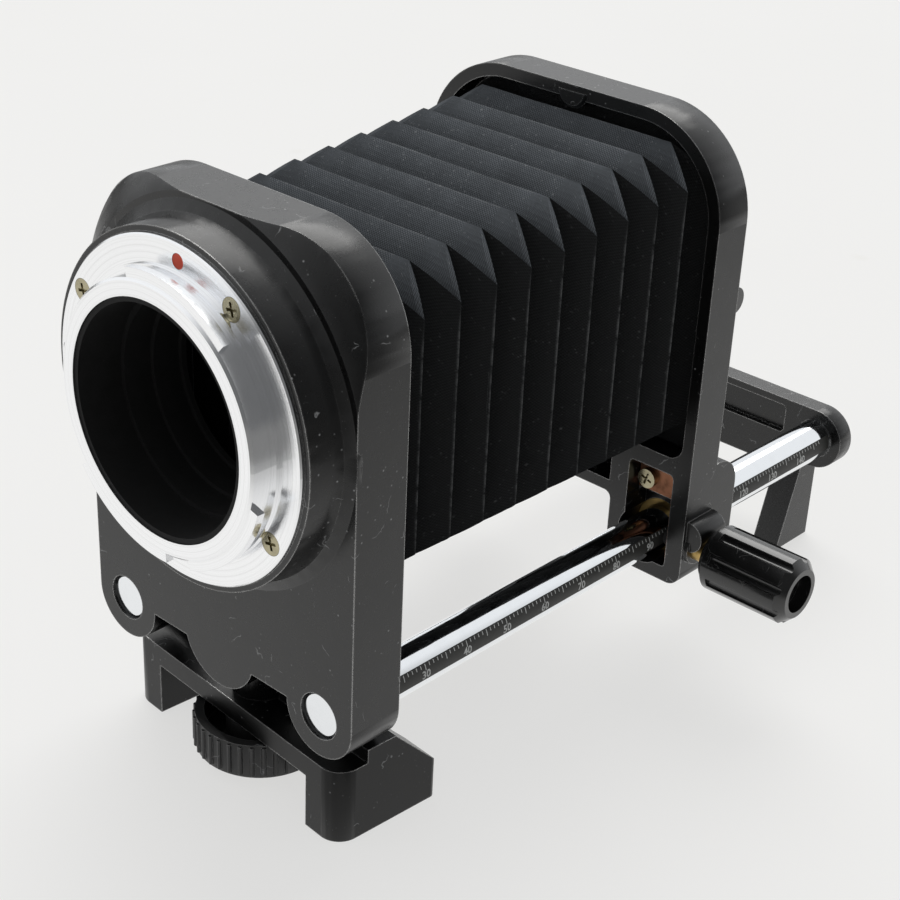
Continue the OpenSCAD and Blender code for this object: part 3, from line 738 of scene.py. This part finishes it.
def wrapped(form, x, y, radius):
    """A flat place, x down the girth and y along the rail, laid on the rail."""
    turn = BAND_TOP - x / RAIL_R
    return form.combine(
        RAIL.x + turn.math("COSINE") * radius, y, RAIL.z + turn.math("SINE") * radius
    )


def graduations_form():
    """Strokes at an even pitch, every fifth one long, wrapped on the rail."""
    form, size = new_form(
        "rail_graduations",
        {
            "Count": int,
            "Pitch": float,
            "First": float,
            "Phase": int,
            "Short": float,
            "Long": float,
            "Width": float,
            "Drop": float,
            "Radius": float,
            "Print": str,
        },
    )
    line = form.add(
        "GeometryNodeMeshLine",
        {
            "Count": size["Count"],
            "Start Location": form.combine(0.0, size["First"], 0.0),
            "Offset": form.combine(0.0, size["Pitch"], 0.0),
        },
    )
    stroke = form.add(
        "GeometryNodeMeshGrid", {"Size X": 1.0, "Size Y": 1.0, "Vertices X": 5, "Vertices Y": 2}
    )
    stroke = form.add("GeometryNodeSetPosition", {"Geometry": stroke, "Offset": (0.5, 0.0, 0.0)})
    index = form.add("GeometryNodeInputIndex")
    is_long = ((index + size["Phase"]) % 5).math("LESS_THAN", 0.5)
    length = size["Short"] + (size["Long"] - size["Short"]) * is_long
    marks = form.add(
        "GeometryNodeInstanceOnPoints",
        {
            "Points": line,
            "Instance": stroke,
            "Scale": form.combine(length, size["Width"], 1.0),
        },
    )
    flat = form.add("GeometryNodeRealizeInstances", {0: marks})
    x, y, _ = form.parts(form.add("GeometryNodeInputPosition"))
    laid = form.add(
        "GeometryNodeSetPosition",
        {"Geometry": flat, "Position": wrapped(form, x + size["Drop"], y, size["Radius"])},
    )
    return close_form(form, laid, size["Print"])


def band_form():
    """The printed ground of the scale, wrapped on the rail."""
    form, size = new_form(
        "rail_band",
        {"Length": float, "Girth": float, "Start": float, "Radius": float, "Print": str},
    )
    strip = form.add(
        "GeometryNodeMeshGrid", {"Size X": 1.0, "Size Y": 1.0, "Vertices X": 13, "Vertices Y": 27}
    )
    x, y, _ = form.parts(form.add("GeometryNodeInputPosition"))
    laid = form.add(
        "GeometryNodeSetPosition",
        {
            "Geometry": strip,
            "Position": wrapped(
                form,
                (x + 0.5) * size["Girth"],
                size["Start"] + (y + 0.5) * size["Length"],
                size["Radius"],
            ),
        },
    )
    return close_form(form, laid, size["Print"])


rail_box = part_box("rail_right")
band_start = rail_box[0].y + BAND_INSET
band_mesh = from_tree(
    "rail_scale_band",
    band_form(),
    {
        "Length": BAND_END - band_start,
        "Girth": (BAND_TOP - BAND_LOW) * RAIL_R,
        "Start": band_start,
        "Radius": RAIL_R + BAND_LIFT,
        "Print": scale_black,
    },
    thickness=BAND_WALL,
)
face_outward(band_mesh)
piece("rail_scale_band", band_mesh, "base")

tick_mesh = from_tree(
    "rail_scale_ticks",
    graduations_form(),
    {
        "Count": SCALE_LAST - SCALE_FIRST + 1,
        "Pitch": 1 * MM,
        "First": SCALE_FIRST * MM + SCALE_ZERO,
        "Phase": SCALE_FIRST % 5,
        "Short": 0.62 * MM,
        "Long": 1.15 * MM,
        "Width": 0.17 * MM,
        "Drop": (BAND_TOP - TICK_TOP) * RAIL_R,
        "Radius": RAIL_R + INK_LIFT,
        "Print": scale_white,
    },
    thickness=INK_WALL,
)
face_outward(tick_mesh)
piece("rail_scale_ticks", tick_mesh, "base")


def number_mesh(text, along, height):
    """Digits as flat outlines, cut into strips and laid round the rail."""
    curve = bpy.data.curves.new("digits", "FONT")
    curve.body = text
    curve.align_x = "CENTER"
    curve.resolution_u = 3
    curve.offset = 0.022
    holder = bpy.data.objects.new("digits_carrier", curve)
    bpy.context.scene.collection.objects.link(holder)
    flat = bpy.data.meshes.new_from_object(
        holder.evaluated_get(bpy.context.evaluated_depsgraph_get())
    )
    bpy.data.objects.remove(holder)
    digits = bmesh.new()
    digits.from_mesh(flat)
    low = min(v.co.y for v in digits.verts)
    high = max(v.co.y for v in digits.verts)
    strips = 6
    for i in range(1, strips):
        bmesh.ops.bisect_plane(
            digits,
            geom=digits.verts[:] + digits.edges[:] + digits.faces[:],
            plane_co=(0, low + (high - low) * i / strips, 0),
            plane_no=(0, 1, 0),
        )
    scale = height / (high - low)
    for v in digits.verts:
        turn = LABEL_MIDDLE + (v.co.y - (low + high) / 2) * scale / RAIL_R
        radius = RAIL_R + INK_LIFT
        v.co = Vector(
            (
                RAIL.x + math.cos(turn) * radius,
                along + v.co.x * scale,
                RAIL.z + math.sin(turn) * radius,
            )
        )
    return digits


numbers = bmesh.new()
for reading in range(30, 141, 10):
    digits = number_mesh(str(reading), reading * MM + SCALE_ZERO, LABEL_HEIGHT)
    part = bpy.data.meshes.new("number")
    digits.to_mesh(part)
    digits.free()
    numbers.from_mesh(part)
    bpy.data.meshes.remove(part)
number_shell = bpy.data.meshes.new("rail_scale_numbers")
bmesh.ops.recalc_face_normals(numbers, faces=numbers.faces)
numbers.to_mesh(number_shell)
numbers.free()
scale_numbers = piece("rail_scale_numbers", number_shell, "base", scale_white)
outward = sum(
    p.normal.dot(p.center - Vector((RAIL.x, p.center.y, RAIL.z))) for p in number_shell.polygons
)
if outward < 0:
    number_shell.flip_normals()
ink = scale_numbers.modifiers.new("ink", "SOLIDIFY")
ink.thickness = INK_WALL
ink.offset = -1.0


def rim_stud():
    """Half-round stud that hangs from the top rim of the lens frame."""
    stud = bmesh.new()
    front, back, high, radius, steps = 89.9, 95.4, 32.9, 3.4, 24
    chamfer, squash = 0.6, 0.92
    rows = []
    for y, r in ((front, radius - chamfer), (front + chamfer, radius), (back, radius)):
        rows.append(
            [
                stud.verts.new(
                    Vector(
                        (
                            -math.cos(math.pi * i / steps) * r,
                            y,
                            high - math.sin(math.pi * i / steps) * r * squash,
                        )
                    )
                    * MM
                )
                for i in range(steps + 1)
            ]
        )
    for a, b in zip(rows, rows[1:]):
        for i in range(steps):
            stud.faces.new((a[i], a[i + 1], b[i + 1], b[i]))
        stud.faces.new((a[steps], a[0], b[0], b[steps]))
    stud.faces.new(rows[0])
    stud.faces.new(rows[-1])
    bmesh.ops.recalc_face_normals(stud, faces=stud.faces)
    mesh = bpy.data.meshes.new("rim_stud")
    stud.to_mesh(mesh)
    stud.free()
    piece("rim_stud", mesh, "carriage", frame_enamel)


rim_stud()

# ---- floor, light and camera ----

FLOOR_Z = -71.6 * MM
FLOOR_GAP = 0.05 * MM
FLOOR_SPAN = 6.0
FLOOR_CORNERS = ((-1, -1), (1, -1), (1, 1), (-1, 1))
floor_mesh = bpy.data.meshes.new("table_top")
floor_mesh.from_pydata(
    [(x * FLOOR_SPAN, y * FLOOR_SPAN, FLOOR_Z - FLOOR_GAP) for x, y in FLOOR_CORNERS],
    [],
    [(0, 1, 2, 3)],
)
floor_mesh.materials.append(table_finish)
floor = bpy.data.objects.new("table_top", floor_mesh)
bpy.context.scene.collection.objects.link(floor)

# light from the room, what seen rays get beyond it, and how far its dark side goes down
ROOM_LIGHT, ROOM_SEEN, ROOM_DIM = 0.40, 0.54, 0.80

world = bpy.data.worlds.new("studio")
world.use_nodes = True
bpy.context.scene.world = world
sky = Tree(world.node_tree)
world.node_tree.nodes.clear()
camera_ray, glossy_ray, glass_ray = seen_rays(sky)
seen = (camera_ray + glossy_ray + glass_ray).math("MINIMUM", 1.0)
direction = sky.add("ShaderNodeTexCoord", out=0)
# reflections from the right front see a darker room, which shapes the gloss on the paint
dark_side = sky.add(
    "ShaderNodeVectorMath", {0: direction, 1: (0.85, -0.5, 0.15)}, out=1, operation="DOT_PRODUCT"
)
dim = sky.ramp(dark_side, 0.15, 0.75) * glossy_ray
backdrop = sky.add(
    "ShaderNodeBackground",
    {"Color": (0.97, 0.985, 1.0, 1.0), "Strength": seen * ROOM_SEEN + ROOM_LIGHT - dim * ROOM_DIM},
)
sky_out = world.node_tree.nodes.new("ShaderNodeOutputWorld")
world.node_tree.links.new(backdrop.socket, sky_out.inputs[0])

lamp_data = bpy.data.lights.new("softbox", "SUN")
lamp_data.energy = 1.75
lamp_data.angle = math.radians(50)
lamp_data.color = (1.0, 0.99, 0.97)
lamp = bpy.data.objects.new("softbox", lamp_data)
lamp.rotation_euler = Vector((-0.40, 0.48, 0.85)).to_track_quat("Z", "Y").to_euler()
bpy.context.scene.collection.objects.link(lamp)

# fitted to the picture: focal length in its pixels, place in millimetres
PICTURE_WIDTH, FOCAL_PIXELS, SENSOR_WIDTH = 900, 1841.0063, 36.0
CAMERA_PLACE = Vector((195.99133, -156.65668, 125.83409)) * MM
CAMERA_TURN, CAMERA_RISE, CAMERA_ROLL = (
    math.radians(a) for a in (41.78561226, 27.66384783, 2.72394995)
)
forward = Vector(
    (
        -math.sin(CAMERA_TURN) * math.cos(CAMERA_RISE),
        math.cos(CAMERA_TURN) * math.cos(CAMERA_RISE),
        -math.sin(CAMERA_RISE),
    )
)
level = forward.cross(Vector((0, 0, 1))).normalized()
upright = level.cross(forward)
right = level * math.cos(CAMERA_ROLL) + upright * math.sin(CAMERA_ROLL)
above = upright * math.cos(CAMERA_ROLL) - level * math.sin(CAMERA_ROLL)
camera_data = bpy.data.cameras.new("camera")
camera_data.sensor_width = SENSOR_WIDTH
camera_data.lens = FOCAL_PIXELS / PICTURE_WIDTH * SENSOR_WIDTH
camera_data.clip_start, camera_data.clip_end = 0.01, 50.0
camera = bpy.data.objects.new("camera", camera_data)
facing = Matrix((right, above, -forward)).transposed().to_4x4()
camera.matrix_world = Matrix.Translation(CAMERA_PLACE) @ facing
bpy.context.scene.collection.objects.link(camera)
bpy.context.scene.camera = camera
bpy.context.scene.view_settings.view_transform = "Standard"
